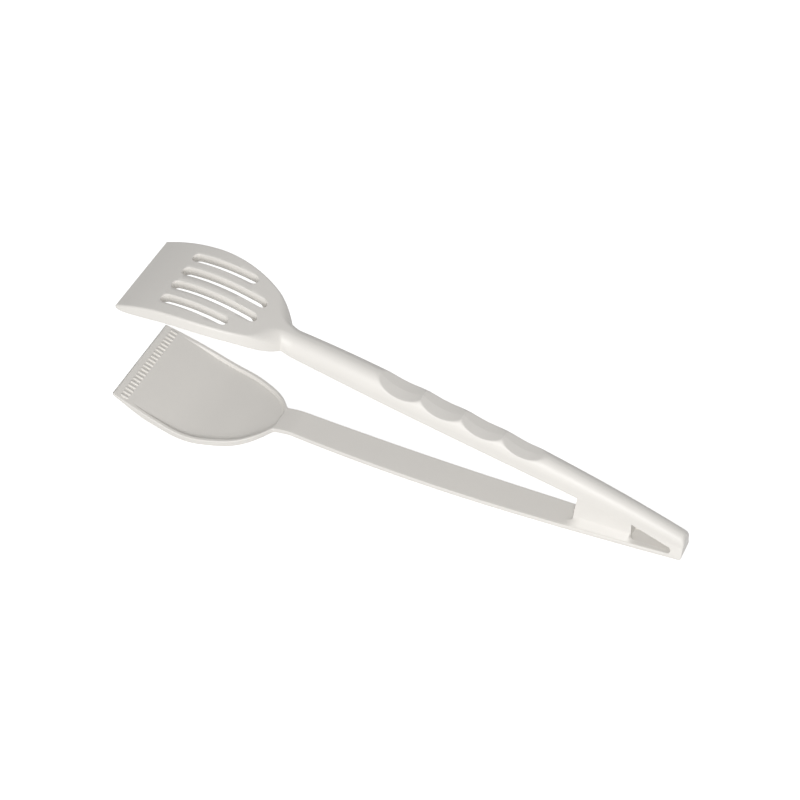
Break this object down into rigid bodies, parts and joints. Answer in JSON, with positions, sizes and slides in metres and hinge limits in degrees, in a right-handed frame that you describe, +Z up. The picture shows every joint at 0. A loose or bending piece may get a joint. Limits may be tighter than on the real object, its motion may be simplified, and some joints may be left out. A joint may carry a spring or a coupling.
{
  "type": "salad tongs",
  "caption": "One-piece plastic salad tongs: slotted spatula over a ridged shallow scoop, scalloped grip above a thin bowed spring strip, joined at a tail with a hanging hole.",
  "frame": {"origin": "middle of the bounding box's base, on the surface that the tongs stand on", "axes": "X along the tongs from the heads to the tail, Y across them, Z up from the scoop to the blade"},
  "size_m": [0.291, 0.0614, 0.0812],
  "materials": {
    "moulding": "satin"
  },
  "bodies": {
    "upper_arm": {"grip_handle": "moulding", "slotted_blade": "moulding", "web_rib": "moulding", "tail_block": "moulding", "strip_root": "moulding"},
    "lower_arm": {"spring_strip": "moulding", "scoop": "moulding", "scoop_ridge_01": "moulding", "scoop_ridge_02": "moulding", "scoop_ridge_03": "moulding", "scoop_ridge_04": "moulding", "scoop_ridge_05": "moulding", "scoop_ridge_06": "moulding", "scoop_ridge_07": "moulding", "scoop_ridge_08": "moulding", "scoop_ridge_09": "moulding", "scoop_ridge_10": "moulding", "scoop_ridge_11": "moulding", "scoop_ridge_12": "moulding", "scoop_ridge_13": "moulding", "scoop_ridge_14": "moulding", "scoop_ridge_15": "moulding", "scoop_ridge_16": "moulding", "scoop_ridge_17": "moulding", "scoop_ridge_18": "moulding", "scoop_ridge_19": "moulding", "scoop_ridge_20": "moulding", "scoop_ridge_21": "moulding"}
  },
  "joints": [
    {"name": "lower_arm_flex", "type": "hinge", "parent": "upper_arm", "child": "lower_arm", "pos_m": [0.0855, 0, 0.00135], "axis": [0, 1, 0], "range_deg": [-4, 13.5], "stiffness_Nm_per_rad": 1.2, "springref_deg": -1.78}
  ]
}
